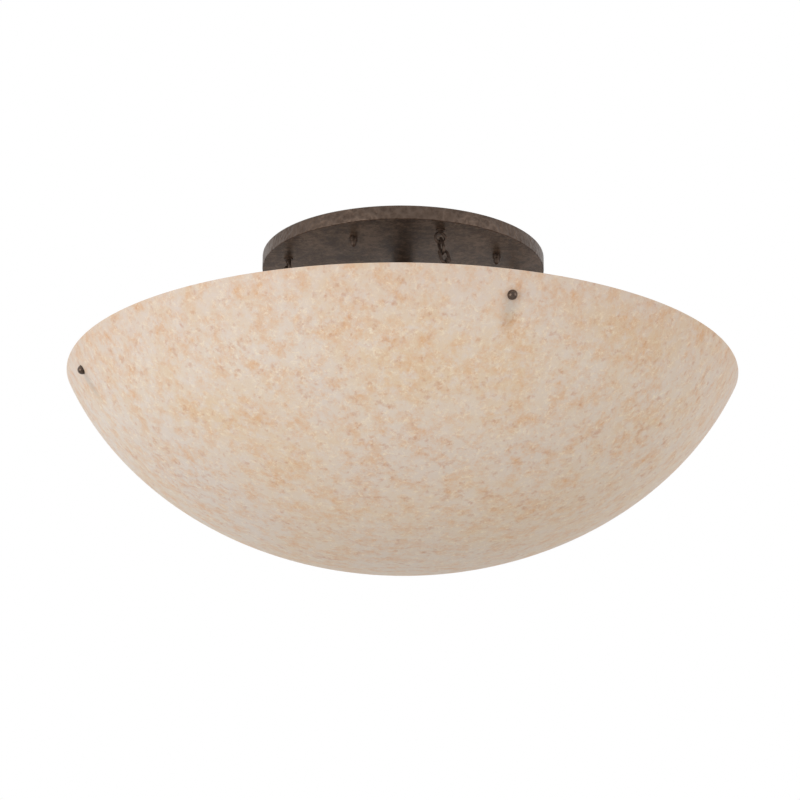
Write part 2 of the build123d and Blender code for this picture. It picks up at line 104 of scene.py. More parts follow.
def upright(ray, radius, height):
    """A place on a ray whose z is still up."""
    return facing(ray, radius, height, 0)[0], np.eye(3)


def placed(sheet, plane, shift=0.0):
    """The sheet moved from the origin onto a plane, and along its z by the shift."""
    origin, axes = plane
    return (sheet + shift * UP) @ axes.T + origin


def flipped(sheet):
    """The sheet turned half a turn about x, so that what pointed up points down."""
    return sheet * np.array([1.0, -1.0, -1.0])


# ---- shapes: every sheet is a grid of points, rows by columns, closed around its columns ----
def rounded(corners, radius, steps=5):
    """A profile of (radius, height) corners, each inner corner replaced by an arc that is tangent
    to both its runs."""
    corners = np.asarray(corners, float)
    at = corners[1:-1]
    back, on = corners[:-2] - at, corners[2:] - at
    back_length, on_length = np.linalg.norm(back, axis=1), np.linalg.norm(on, axis=1)
    back, on = back / back_length[:, None], on / on_length[:, None]
    half = np.arccos(np.clip((back * on).sum(1), -0.9999, 0.9999)) / 2
    reach = np.minimum(np.broadcast_to(radius, half.shape) / np.tan(half),
                       0.49 * np.minimum(back_length, on_length))
    inwards = (back + on) / np.linalg.norm(back + on, axis=1)[:, None]
    centre = at + inwards * (reach / np.cos(half))[:, None]
    start, end = at + back * reach[:, None], at + on * reach[:, None]
    size = np.linalg.norm(start - centre, axis=1)
    part = np.linspace(0, 1, steps)[None, :, None]
    chord = start[:, None] * (1 - part) + end[:, None] * part - centre[:, None]
    arc = centre[:, None] + chord / np.linalg.norm(chord, axis=2)[..., None] * size[:, None, None]
    return np.vstack([corners[:1], arc.reshape(-1, 2), corners[-1:]])


def smooth_profile(knots, steps):
    """A curve through (radius, height) knots: a cubic between each two, whose slope at a knot is
    that of the line between the knot's neighbours."""
    knots = np.asarray(knots, float)
    slope = np.gradient(knots, axis=0)
    part = np.linspace(0, 1, steps, endpoint=False)[None, :, None]
    a, b = knots[:-1, None], knots[1:, None]
    slope_a, slope_b = slope[:-1, None], slope[1:, None]
    curve = ((2 * part**3 - 3 * part**2 + 1) * a + (part**3 - 2 * part**2 + part) * slope_a
             + (3 * part**2 - 2 * part**3) * b + (part**3 - part**2) * slope_b)
    return np.vstack([curve.reshape(-1, 2), knots[-1:]])


def round_the_axis(reach, height, angle):
    """Points at a reach from z and a height, both rows by columns: reach times cosine and sine."""
    return np.stack([reach * np.cos(angle), reach * np.sin(angle), height + 0 * angle], axis=-1)


def full_turn(sides):
    """The angles of a ring's points, the first one on x."""
    return np.linspace(0, 2 * np.pi, sides, endpoint=False)


def turned(profile, sides=96):
    """A profile turned about z: its radius times cosine and sine of the angle, at its height."""
    profile = np.asarray(profile, float)
    return round_the_axis(profile[:, :1], profile[:, 1:], full_turn(sides))


def turned_nut(profile, flats, cut=True):
    """A turned profile cut by a hexagon: the radius is the smaller of the profile's and
    flats / 2 / cos, the angle being counted from the nearest flat. Rows where cut is false keep the
    profile alone."""
    profile = np.asarray(profile, float)
    angle = full_turn(60)
    hexagon = flats / 2 / np.cos((angle + np.pi / 6) % (np.pi / 3) - np.pi / 6)
    reach = np.where(np.reshape(cut, (-1, 1)), np.minimum(profile[:, :1], hexagon), profile[:, :1])
    return round_the_axis(reach, profile[:, 1:], angle)


def nut_sheet(flats, height, bore):
    """A plain nut standing on z = 0: a hexagon whose corners are turned away at both faces."""
    corner = flats / 2 / cos(radians(30))
    profile = [(bore, height), (bore, 0), (flats / 2 * 0.96, 0), (corner, 0.13 * height),
               (corner, 0.87 * height), (flats / 2 * 0.96, height), (bore, height)]
    return turned_nut(profile, flats, [False, False, True, True, True, True, False])


def screw_thread(radius, start, end, pitch, depth, sides, rows_per_turn, bore=0.0):
    """A round thread: radius - depth / 2 + depth / 2 * cos(2 pi z / pitch - angle), closed by its
    ends, or by its bore when it has one."""
    rows = int((end - start) / pitch * rows_per_turn) + 2
    z = np.linspace(start, end, rows)[:, None]
    angle = full_turn(sides)
    reach = radius - depth / 2 + depth / 2 * np.cos(2 * np.pi * z / pitch - angle)
    foot = [(bore, end), (bore, start)] if bore else [(0, start)]
    return np.concatenate([turned(foot, sides), round_the_axis(reach, z, angle),
                           turned([(bore, end)], sides)])


def wire_loop(half_length, half_width, wire, bends, around):
    """Round wire bent into a closed link: a circle carried round two half circles and the straight
    runs between them."""
    turn = np.radians(np.concatenate([np.linspace(-90, 90, bends // 2 + 1),
                                      np.linspace(90, 270, bends // 2 + 1)]))
    side = np.repeat([1.0, -1.0], bends // 2 + 1)
    outward = np.stack([np.cos(turn), np.sin(turn), 0 * turn], axis=-1)
    run = np.stack([(half_length - half_width) * side, 0 * turn, 0 * turn], axis=-1)
    centre = run + half_width * outward
    phi = full_turn(around)[None, :, None]
    return centre[:, None] + wire / 2 * (np.cos(phi) * outward[:, None] + np.sin(phi) * UP)


# ---- meshes ----
def finish_mesh(name, vertices, faces, nodes, finish, slot, body="root", sharp=32):
    """Puts points in metres and quads into a mesh, closes its seams and poles, and hands the piece
    its finish. Edges sharper than `sharp` degrees stay crisp."""
    mesh = bpy.data.meshes.new(name)
    mesh.vertices.add(len(vertices))
    mesh.vertices.foreach_set("co", vertices.astype(np.float32).ravel())
    mesh.loops.add(faces.size)
    mesh.loops.foreach_set("vertex_index", faces.astype(np.int32).ravel())
    mesh.polygons.add(len(faces))
    mesh.polygons.foreach_set("loop_start", np.arange(len(faces), dtype=np.int32) * 4)
    mesh.update(calc_edges=True)
    work = bmesh.new()
    work.from_mesh(mesh)
    bmesh.ops.remove_doubles(work, verts=work.verts, dist=1e-6)
    work.to_mesh(mesh)
    work.free()
    mesh.polygons.foreach_set("use_smooth", np.ones(len(mesh.polygons), dtype=bool))
    mesh.set_sharp_from_angle(angle=radians(sharp))
    mesh.materials.append(finish)
    piece = bpy.data.objects.new(name, mesh)
    bpy.context.scene.collection.objects.link(piece)
    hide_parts(*nodes)
    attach(piece, body)
    return piece


def make_piece(name, sheets, nodes, finish, slot, loops=False, **more):
    """One object from sheets of points in millimetres. Neighbouring rows and columns are joined by
    quads, rows that shrink to a point become a pole, and with loops the last row joins the first.
    Each sheet is turned to face outwards, by the sign of the volume that it encloses."""
    vertices, faces, offset = [], [], 0
    for sheet in sheets:
        rows, columns = sheet.shape[:2]
        below = np.arange(rows if loops else rows - 1)[:, None] * columns + np.arange(columns)
        right = np.roll(below, -1, axis=1)
        above, corner = (below + columns) % (rows * columns), (right + columns) % (rows * columns)
        quads = np.stack([below, right, corner, above], axis=-1).reshape(-1, 4)
        flat = sheet.reshape(-1, 3)
        p, q, r, s = (flat[quads[:, k]] for k in range(4))
        volume = np.einsum("ij,ij->", p, np.cross(q, r)) + np.einsum("ij,ij->", p, np.cross(r, s))
        vertices.append(flat * MM)
        faces.append((quads if volume > 0 else quads[:, ::-1]) + offset)
        offset += len(flat)
    return finish_mesh(name, np.vstack(vertices), np.vstack(faces), nodes, finish, slot, **more)


# ---- material helpers ----
def srgb(r, g, b):
    """A colour written as 0 to 255 display values, as linear light."""
    values = np.array([r, g, b]) / 255
    linear = np.where(values <= 0.04045, values / 12.92, ((values + 0.055) / 1.055) ** 2.4)
    return (*linear.tolist(), 1.0)


WHITE = srgb(255, 255, 255)


def feed(tree, socket, value):
    """Links a socket to the input, or writes a plain value on it."""
    if isinstance(value, bpy.types.NodeSocket):
        tree.links.new(value, socket)
    else:
        socket.default_value = value


def step(tree, kind, inputs=(), **settings):
    """Adds one shader node, gives it its settings, and feeds its inputs."""
    made = tree.nodes.new("ShaderNode" + kind)
    for key, value in settings.items():
        setattr(made, key, value)
    for key, value in dict(inputs).items():
        feed(tree, made.inputs[key], value)
    return made


def ramp(tree, value, *stops):
    """A colour ramp of (position, colour or grey) stops over a value; returns its colour."""
    made = step(tree, "ValToRGB", {"Fac": value})
    elements = made.color_ramp.elements
    while len(elements) < len(stops):
        elements.new(0.5)
    for element, (position, colour) in zip(elements, stops):
        element.position = position
        element.color = colour if isinstance(colour, tuple) else (colour, colour, colour, 1)
    return made.outputs["Color"]


def maths(tree, operation, a, b=0.5, clamp=False):
    """One Math node on two values."""
    return step(tree, "Math", {0: a, 1: b}, operation=operation, use_clamp=clamp).outputs[0]


def scaled(tree, value, times, plus=0.0):
    """A value times one number, plus another."""
    times_it = maths(tree, "MULTIPLY", value, times)
    return maths(tree, "ADD", times_it, plus) if plus else times_it


def blend_colours(tree, factor, a, b, kind="MIX"):
    """Colour a with colour b laid over it by a factor."""
    mix = step(tree, "Mix", data_type="RGBA", blend_type=kind)
    for number, value in ((0, factor), (6, a), (7, b)):     # the sockets that a colour mix uses
        feed(tree, mix.inputs[number], value)
    return mix.outputs[2]


def noise(tree, where, scale, detail, rough=0.55, distort=0.0):
    """Fractal noise from 0 to 1, with about `scale` lumps to the metre."""
    return step(tree, "TexNoise", {"Vector": where, "Scale": scale, "Detail": detail,
                                   "Roughness": rough, "Distortion": distort}).outputs["Fac"]


def new_group(name, takes, gives):
    """An empty node group with named inputs and outputs; returns its tree, what it takes and what
    it gives."""
    tree = bpy.data.node_groups.new(name, "ShaderNodeTree")
    for key, kind in takes:
        tree.interface.new_socket(name=key, in_out="INPUT", socket_type="NodeSocket" + kind)
    for key, kind in gives:
        tree.interface.new_socket(name=key, in_out="OUTPUT", socket_type="NodeSocket" + kind)
    return tree, tree.nodes.new("NodeGroupInput").outputs, tree.nodes.new("NodeGroupOutput").inputs


def use_group(tree, group, **inputs):
    """Places a group in a material with its own values and returns its outputs."""
    made = step(tree, "Group", node_tree=group)
    for key, value in inputs.items():
        feed(tree, made.inputs[key], value)
    return made.outputs


def new_finish(name, **plain):
    """A material with a Principled BSDF whose plain values sit on its own sockets."""
    material = bpy.data.materials.new(name)
    material.use_nodes = True
    tree = material.node_tree
    shader = tree.nodes["Principled BSDF"]
    for key, value in plain.items():
        shader.inputs[key.replace("_", " ")].default_value = value
    where = tree.nodes.new("ShaderNodeTexCoord").outputs["Object"]
    return material, tree, shader, where


def wire_up(tree, shader, height, strength, distance, colour, rough):
    """Links a colour and a roughness to the shader, and a height to its Normal through a Bump."""
    tree.links.new(colour, shader.inputs["Base Color"])
    tree.links.new(rough, shader.inputs["Roughness"])
    bump = step(tree, "Bump", {"Strength": strength, "Distance": distance, "Height": height})
    tree.links.new(bump.outputs["Normal"], shader.inputs["Normal"])


# ---- shared effects ----
def rubbed_metal_group():
    """Dark patina with lighter rubbed patches: a broad noise mixes the two colours, a fine one
    breaks them up and roughens the surface."""
    tree, takes, gives = new_group(
        "rubbed metal",
        [("Vector", "Vector"), ("Scale", "Float"), ("Patina", "Color"), ("Rubbed", "Color")],
        [("Color", "Color"), ("Roughness", "Float"), ("Height", "Float")])
    broad = noise(tree, takes["Vector"], takes["Scale"], 5, 0.6, 0.4)
    fine = noise(tree, takes["Vector"], scaled(tree, takes["Scale"], 9.0), 3, 0.6)
    both = maths(tree, "ADD", scaled(tree, broad, 0.65), scaled(tree, fine, 0.35))
    worn = ramp(tree, both, (0.38, 0.0), (0.66, 1.0))
    tree.links.new(blend_colours(tree, worn, takes["Patina"], takes["Rubbed"]), gives["Color"])
    tree.links.new(scaled(tree, fine, 0.22), gives["Roughness"])
    tree.links.new(fine, gives["Height"])
    return tree


def hammer_marks_group():
    """Overlapping hammer dents: smooth Voronoi cells, pushed about by a noise, are the dents, and
    their walls are the ridges."""
    tree, takes, gives = new_group("hammer marks", [("Vector", "Vector"), ("Scale", "Float")],
                                   [("Height", "Float"), ("Ridge", "Float")])
    drift = noise(tree, takes["Vector"], scaled(tree, takes["Scale"], 0.6), 2)
    even = step(tree, "CombineXYZ", {0: drift, 1: drift, 2: drift}).outputs[0]
    push = step(tree, "VectorMath", {0: even, "Scale": 0.006}, operation="SCALE").outputs[0]
    pushed = step(tree, "VectorMath", {0: takes["Vector"], 1: push}, operation="ADD").outputs[0]
    cells = step(tree, "TexVoronoi", {"Vector": pushed, "Scale": takes["Scale"],
                                      "Smoothness": 0.35}, feature="SMOOTH_F1").outputs["Distance"]
    tree.links.new(cells, gives["Height"])
    tree.links.new(ramp(tree, cells, (0.35, 0.0), (0.75, 1.0)), gives["Ridge"])
    return tree


def tab_shade_group():
    """The grey shade that each arm's tab throws through the glass: a soft spot 10 mm lower than
    each ball screw, drawn out along the bowl's slope. All four rays are folded onto the first one:
    the angle from it, less the nearest number of quarter turns."""
    middle_z, half_height, half_turn = -0.150, 0.019, 0.032     # metres, metres and radians
    tree, takes, gives = new_group("tab shade", [("Vector", "Vector")], [("Color", "Color")])
    split = step(tree, "SeparateXYZ", {0: takes["Vector"]}).outputs
    angle = maths(tree, "ARCTAN2", split["Y"], split["X"])
    from_ray = maths(tree, "SUBTRACT", angle, radians(RAYS[0]))
    quarters = maths(tree, "ROUND", maths(tree, "DIVIDE", from_ray, np.pi / 2))
    folded = maths(tree, "SUBTRACT", from_ray, scaled(tree, quarters, np.pi / 2))
    sideways = maths(tree, "DIVIDE", folded, half_turn)
    along = maths(tree, "DIVIDE", maths(tree, "SUBTRACT", split["Z"], middle_z), half_height)
    spread = maths(tree, "SQRT", maths(tree, "ADD", maths(tree, "MULTIPLY", sideways, sideways),
                                       maths(tree, "MULTIPLY", along, along)))
    tree.links.new(ramp(tree, spread, (0.25, srgb(233, 235, 237)), (1.0, WHITE)), gives["Color"])
    return tree


rubbed_metal = rubbed_metal_group()
hammer_marks = hammer_marks_group()
tab_shade = tab_shade_group()


# ---- finishes ----
def mottled_bowl_glass():
    """Satin art glass: broad clouds of grey white and cream, tan mottling, milky gaps in it,
    clustered red-brown specks with soft edges and pale flecks. It grows a little warmer down and
    to the right, a little greyer at its rim, and each arm's tab shades it below its ball screw."""
    material, tree, shader, where = new_finish("mottled_bowl_glass", Metallic=0.0, IOR=1.42,
                                               Coat_Weight=0.05, Coat_Roughness=0.3)
    clouds = ramp(tree, noise(tree, where, 9.0, 6, 0.66, 0.2), (0.38, srgb(229, 217, 208)),
                  (0.50, srgb(232, 217, 202)), (0.63, srgb(232, 209, 182)))
    mottle = noise(tree, where, 58.0, 9, 0.77)
    tan = ramp(tree, mottle, (0.46, 0.0), (0.66, 0.9))
    milk = ramp(tree, noise(tree, where, 88.0, 9, 0.80), (0.47, 0.0), (0.63, 0.8))
    speck_field = noise(tree, where, 150.0, 4, 0.62)
    speck_patch = ramp(tree, noise(tree, where, 20.0, 6, 0.7), (0.40, 0.0), (0.62, 0.10))
    specks = ramp(tree, maths(tree, "ADD", speck_field, speck_patch), (0.61, 0.0), (0.87, 0.8))
    flecks = ramp(tree, noise(tree, where, 170.0, 8, 0.85, 0.5), (0.52, 0.0), (0.67, 0.9))
    colour = clouds
    for mask, tone in ((tan, srgb(228, 184, 142)), (milk, srgb(232, 221, 214)),
                       (specks, srgb(204, 147, 110)), (flecks, srgb(252, 240, 219))):
        colour = blend_colours(tree, mask, colour, tone)
    down_right = step(tree, "VectorMath", {0: where, 1: (0.5, 0.0, -1.6)},
                      operation="DOT_PRODUCT").outputs["Value"]
    warmer = ramp(tree, down_right, (0.14, WHITE), (0.50, srgb(252, 245, 234)))
    height = step(tree, "SeparateXYZ", {0: where}).outputs["Z"]
    above_the_start = maths(tree, "ADD", height, 0.175)
    near_rim = maths(tree, "DIVIDE", above_the_start, 0.05, True)       # full 50 mm higher
    for amount, tone in ((1.0, use_group(tree, tab_shade, Vector=where)["Color"]), (1.0, warmer),
                         (near_rim, srgb(249, 244, 240))):
        colour = blend_colours(tree, amount, colour, tone, "MULTIPLY")
    wire_up(tree, shader, noise(tree, where, 45.0, 3, 0.5), 0.10, 0.0010, colour,
            scaled(tree, mottle, 0.16, 0.46))
    return material


def canopy_bronze():
    """Oil-rubbed bronze: hammered on the drum's wall, which is what lies further from the axis than
    the start of its rounded edge, and a grainy rubbed patina in dark and light blotches on its
    underside."""
    material, tree, shader, where = new_finish("canopy_bronze", Metallic=0.75)
    level = step(tree, "VectorMath", {0: where, 1: (1, 1, 0)}, operation="MULTIPLY").outputs[0]
    reach = step(tree, "VectorMath", {0: level}, operation="LENGTH").outputs["Value"]
    wall = maths(tree, "GREATER_THAN", reach, (CANOPY_RADIUS - CANOPY_EDGE) * MM)
    metal = use_group(tree, rubbed_metal, Vector=where, Scale=60.0,
                      Patina=srgb(72, 58, 49), Rubbed=srgb(94, 78, 67))
    dents = use_group(tree, hammer_marks, Vector=where, Scale=210.0)
    ridged = blend_colours(tree, scaled(tree, dents["Ridge"], 0.45), metal["Color"],
                           srgb(106, 91, 81))
    grain = noise(tree, where, 190.0, 6, 0.78)
    blotch = noise(tree, where, 34.0, 5, 0.7)
    rubbing = maths(tree, "ADD", scaled(tree, grain, 0.62), scaled(tree, blotch, 0.38))
    worn = ramp(tree, rubbing, (0.42, srgb(67, 54, 46)), (0.50, srgb(95, 80, 69)),
                (0.58, srgb(126, 110, 98)))
    height = maths(tree, "ADD", maths(tree, "MULTIPLY", dents["Height"], wall),
                   scaled(tree, grain, 0.25))
    wire_up(tree, shader, height, 0.55, 0.0016, blend_colours(tree, wall, worn, ridged),
            scaled(tree, grain, 0.4, 0.24))
    return material


def bronze(name, scale, patina, rubbed, rough):
    """The same dark bronze on small pieces."""
    material, tree, shader, where = new_finish(name, Metallic=0.7)
    metal = use_group(tree, rubbed_metal, Vector=where, Scale=scale, Patina=patina, Rubbed=rubbed)
    wire_up(tree, shader, metal["Height"], 0.25, 0.0003, metal["Color"],
            maths(tree, "ADD", metal["Roughness"], rough))
    return material


def plated(name, dark, light):
    """Plated or plain metal with faint clouding."""
    material, tree, shader, where = new_finish(name, Metallic=1.0)
    cloud = noise(tree, where, 140.0, 4, 0.6)
    wire_up(tree, shader, cloud, 0.08, 0.0002, ramp(tree, cloud, (0.35, dark), (0.65, light)),
            scaled(tree, cloud, 0.25, 0.2))
    return material


def dull(name, dark, light, rough, scale, bump):
    """Porcelain, rubber, paint or frosted glass: two close tones and a fine unevenness."""
    material, tree, shader, where = new_finish(name, Metallic=0.0)
    cloud = noise(tree, where, scale, 5, 0.6)
    wire_up(tree, shader, noise(tree, where, scale * 6, 2), bump, 0.0002,
            ramp(tree, cloud, (0.35, dark), (0.65, light)), scaled(tree, cloud, 0.12, rough))
    return material


bowl_finish = mottled_bowl_glass()
canopy_finish = canopy_bronze()
trim_finish = bronze("trim_bronze", 240.0, srgb(58, 46, 39), srgb(98, 82, 71), 0.40)
ball_finish = bronze("ball_bronze", 240.0, srgb(70, 56, 47), srgb(112, 96, 84), 0.16)
strap_finish = bronze("strap_bronze", 70.0, srgb(70, 60, 53), srgb(98, 86, 77), 0.26)
zinc_finish = plated("zinc_plate", srgb(150, 152, 148), srgb(188, 188, 180))
brass_finish = plated("bright_brass", srgb(176, 140, 74), srgb(212, 178, 104))
cap_finish = plated("lamp_cap_aluminium", srgb(184, 184, 186), srgb(214, 214, 214))
porcelain_finish = dull("glazed_porcelain", srgb(228, 226, 218), srgb(240, 238, 232), 0.12, 60.0,
                        0.04)
lamp_finish = dull("frosted_lamp_glass", srgb(236, 234, 226), srgb(244, 243, 238), 0.42, 40.0, 0.05)
rubber_finish = dull("dark_rubber", srgb(30, 28, 27), srgb(44, 41, 39), 0.62, 200.0, 0.3)
green_finish = dull("green_screw_paint", srgb(30, 92, 48), srgb(42, 112, 60), 0.3, 300.0, 0.1)

# what small pieces share: the finish, and the record's material slot
TRIM = (trim_finish, "bronze_finish")
STRAP = (strap_finish, "bronze_finish")
ZINC = (zinc_finish, "zinc_steel")
BRASS = (brass_finish, "brass_contacts")
RUBBER = (rubber_finish, "soft_washers")


# ---- bowl ----
def bowl_point(turn, inset=0.0):
    """The ellipse's point at a turn up from its lowest point, moved inwards along its normal."""
    turn = np.asarray(turn, float)
    normal = np.stack([np.sin(turn) / ACROSS, -np.cos(turn) / DEEP], axis=-1)
    normal /= np.linalg.norm(normal, axis=-1)[..., None]
    outer = np.stack([ACROSS * np.sin(turn), MIDDLE_Z - DEEP * np.cos(turn)], axis=-1)
    return outer - inset * normal


def drilled_wall(last, azimuths, inset):
    """One wall of the bowl as a grid of turns, up to the last one, by azimuths. Around each ball
    screw the grid is drawn out: points on the square HOLE_CELLS from the screw lie on the hole's
    circle, and points further out move less and less, up to FADE_CELLS away. Returns the grid, and
    which of its points lie on or in a hole."""
    turns = np.concatenate([np.linspace(0, SEAT_TURN, SEAT_ROW + 1),
                            np.linspace(SEAT_TURN, last, ROWS_ABOVE + 1)[1:]])
    profile = bowl_point(turns, inset)
    rows = np.arange(len(turns))
    row = rows[:, None] - SEAT_ROW
    column = (np.arange(COLUMNS)[None, :] + COLUMNS // 8) % (COLUMNS // 4) - COLUMNS // 8
    square = np.maximum(np.abs(row), np.abs(column)).astype(float)
    cell_height = np.linalg.norm(profile[SEAT_ROW] - profile[SEAT_ROW - 1])
    cell_width = 2 * np.pi * profile[SEAT_ROW, 0] / COLUMNS
    distance = np.maximum(np.hypot(row * 1.0, column * 1.0), 1e-9)
    keep = np.clip((square - HOLE_CELLS) / (FADE_CELLS - HOLE_CELLS), 0, 1)
    keep = keep * keep * (3 - 2 * keep)
    on_circle = (1 - keep) * HOLE_RADIUS * square / HOLE_CELLS / distance
    near = square < FADE_CELLS
    up = np.where(near, (keep * cell_height + on_circle) * row / cell_height - row, 0)
    round_it = np.where(near, (keep * cell_width + on_circle) * column / cell_width - column, 0)
    point = bowl_point(np.interp(rows[:, None] + up, rows, turns), inset)
    angle = azimuths + round_it * 2 * np.pi / COLUMNS
    return round_the_axis(point[..., 0], point[..., 1], angle), square <= HOLE_CELLS


def make_bowl():
    """Outer wall, rounded rim and inner wall in one closed skin. Its four drilled holes have lost
    their quads, and the wall of each joins the edges that the outer and the inner wall lost."""
    azimuths = np.radians(RAYS[0] + np.arange(COLUMNS) * 360 / COLUMNS)
    turns = np.linspace(1, RIM_TURN, 400)
    inner_rim = np.interp(RIM_Z, bowl_point(turns, GLASS)[:, 1], turns)
    outer, outer_hole = drilled_wall(RIM_TURN - LIP_TURN, azimuths, 0.0)
    inner, inner_hole = drilled_wall(inner_rim - LIP_TURN, azimuths, GLASS)
    lip = rounded([bowl_point(RIM_TURN - LIP_TURN), bowl_point(RIM_TURN),
                   bowl_point(inner_rim, GLASS), bowl_point(inner_rim - LIP_TURN, GLASS)],
                  LIP_RADIUS, 6)[1:-1]
    sheet = np.concatenate([outer, round_the_axis(lip[:, :1], lip[:, 1:], azimuths), inner[::-1]])
    last = len(sheet) - 1
    below = np.arange(last)[:, None] * COLUMNS + np.arange(COLUMNS)
    right = np.roll(below, -1, axis=1)
    quads = np.stack([below, right, right + COLUMNS, below + COLUMNS], axis=-1)
    hole = np.concatenate([outer_hole, np.zeros((len(lip), COLUMNS), bool), inner_hole[::-1]])
    beside = np.roll(hole, -1, axis=1)
    faces = [quads[~(hole[:-1] & hole[1:] & beside[:-1] & beside[1:])]]
    side = [(-HOLE_CELLS, k) for k in range(-HOLE_CELLS, HOLE_CELLS)]
    ring = np.array(side + [(c, -r) for r, c in side] + [(-r, -c) for r, c in side]
                    + [(-c, r) for r, c in side])       # rows and columns round the hole's square
    for quarter in range(4):
        at = (quarter * COLUMNS // 4 + ring[:, 1]) % COLUMNS
        out = (SEAT_ROW + ring[:, 0]) * COLUMNS + at
        within = (last - SEAT_ROW - ring[:, 0]) * COLUMNS + at
        faces.append(np.stack([out, within, np.roll(within, -1), np.roll(out, -1)], axis=-1))
    return finish_mesh("mottled_bowl", sheet.reshape(-1, 3) * MM, np.vstack(faces), ["glass_bowl"],
                       bowl_finish, "bowl_glass", sharp=40)


make_bowl()


# ---- canopy, its cap nuts and the stem ----
def canopy_sheet():
    """A spun pan: outer wall and underside, a rounded bottom edge, and the sheet's inner side."""
    r, h, t = CANOPY_RADIUS, CANOPY_HEIGHT, CANOPY_SHEET
    return turned(rounded([(CLEARS, -h + t), (CLEARS, -h), (r, -h), (r, 0), (r - t, 0),
                           (r - t, -h + t), (CLEARS, -h + t)],
                          [0.2, CANOPY_EDGE, 0.3, 0.3, 0.4], 6), 256)


def cap_nut_sheet():
    """An acorn nut hanging from z = 0: a hexagon, a chamfer, then a dome on a short neck."""
    hexed, dome = 3.6, 5.4
    turn = np.radians(np.linspace(0, 90, 9))
    tip = np.stack([2.9 * np.cos(turn), hexed + 0.5 + (dome - 0.5) * np.sin(turn)], axis=1)
    tip[-1, 0] = 0
    body = [(0, 0), (3.7, 0), (4.05, 0.5), (4.05, hexed - 0.4), (3.3, hexed), (2.95, hexed + 0.1)]
    return flipped(turned_nut(np.vstack([body, tip]), 7.0))


make_piece("hammered_canopy", [canopy_sheet()], ["ceiling_canopy"], canopy_finish, "bronze_finish",
           loops=True)
make_piece("acorn_nuts", [placed(cap_nut_sheet(), upright(ray, STUD_CIRCLE, -CANOPY_HEIGHT))
                          for ray in LAMP_RAYS], ["cap_nuts"], *TRIM)
make_piece("stem_sleeve_tube", [turned(rounded(
    [(CLEARS, -CANOPY_HEIGHT), (CLEARS, SLEEVE_END), (9, SLEEVE_END), (9, -CANOPY_HEIGHT),
     (CLEARS, -CANOPY_HEIGHT)], [0.2, 0.6, 0.3]))], ["stem_sleeve"], *TRIM, loops=True)
make_piece("stem_column_tube", [turned(rounded(
    [(CLEARS, COLUMN_FLOOR), (COLUMN_BORE, COLUMN_FLOOR), (COLUMN_BORE, ARM_TOP),
     (COLUMN_RADIUS, ARM_TOP), (COLUMN_RADIUS, SLEEVE_END), (CLEARS, SLEEVE_END),
     (CLEARS, COLUMN_FLOOR)], [0.2, 0.4, 0.4, 1.6, 0.3]))], ["stem_column"], *STRAP, loops=True)
stem = screw_thread(STEM_RADIUS, STEM_TIP, STEM_TOP, STEM_PITCH, THREAD_DEPTH, 40, 7, STEM_BORE)
make_piece("threaded_stem", [stem], ["stem_nipple"], *ZINC, loops=True, sharp=60)
make_piece("stem_locking_nut", [nut_sheet(16, 4, TAPPED) + LOCKNUT_Z * UP], ["stem_locknut"], *ZINC)
stud = screw_thread(STUD_RADIUS, STUD_TIP, 0, 0.8, 0.3, 24, 6)
make_piece("stud_threads", [placed(stud, upright(ray, STUD_CIRCLE, 0)) for ray in LAMP_RAYS],
           ["canopy_studs"], *ZINC, sharp=60)
screw_head = turned(rounded([(0, 0), (4, 0), (4, -1.9), (2.6, -2.6), (0, -2.6)],
                            [0.1, 0.3, 0.6], 4), 48)
screw_shank = turned([(0, 0), (1.95, 0), (1.95, -2), (0, -2)], 32)
make_piece("green_ground_screw", [screw_head + GROUND_SCREW - 2 * UP, screw_shank + GROUND_SCREW],
           ["ground_screw"], green_finish, "green_screw")


# ---- spider rivets, finial ----
rivet_head = turned(smooth_profile([(3.5, 0), (3.4, 0.7), (2.7, 1.5), (1.5, 1.9), (0, 2.0)], 4), 40)
rivet_shank = turned([(0, ARM_UNDERSIDE), (2, ARM_UNDERSIDE), (2, ARM_TOP), (0, ARM_TOP)], 32)
make_piece("round_head_rivets",
           [placed(sheet, upright(ray, RIVET_CIRCLE, height))
            for sheet, height in ((rivet_head, ARM_TOP), (flipped(rivet_head), ARM_UNDERSIDE),
                                  (rivet_shank, 0)) for ray in RAYS], ["arm_rivets"], *ZINC)
make_piece("turned_finial", [turned(smooth_profile(
    [(0, -181), (2.2, -180.8), (4.4, -179.2), (5.6, -176.8), (5.2, -175), (5.0, -174.2),
     (6.6, -173.4), (7.9, -171.6), (8, -169.6), (7.7, -169), (0, -169)], 6), 64)],
    ["cluster_finial"], *TRIM)


# ---- lamps and their holders, laid along the four lamp axes, z = 0 at the can's face ----
def holder_sheet():
    """Porcelain cup: outer wall with a waist bead, mouth lip, and the bore back to its floor."""
    return turned(rounded(
        [(TAPPED, 0), (17.5, 0), (19, 3), (19, 12), (18.2, 14), (18.2, 17), (19, 19), (19, 42),
         (16, 42), (16, 32), (14.06, 32), (14.06, HOLDER_FLOOR), (TAPPED, HOLDER_FLOOR),
         (TAPPED, 0)],
        [1.2, 1.0, 0.8, 0.5, 0.5, 0.8, 1.1, 0.8, 0.4, 0.3, 0.4, 0.2]))


def shell_sheet():
    """A thin brass tube with rounded edges."""
    return turned(rounded([(13.5, LAMP_FOOT), (14, LAMP_FOOT), (14, 32), (13.5, 32),
                           (13.5, LAMP_FOOT)], 0.1, 3), 72)


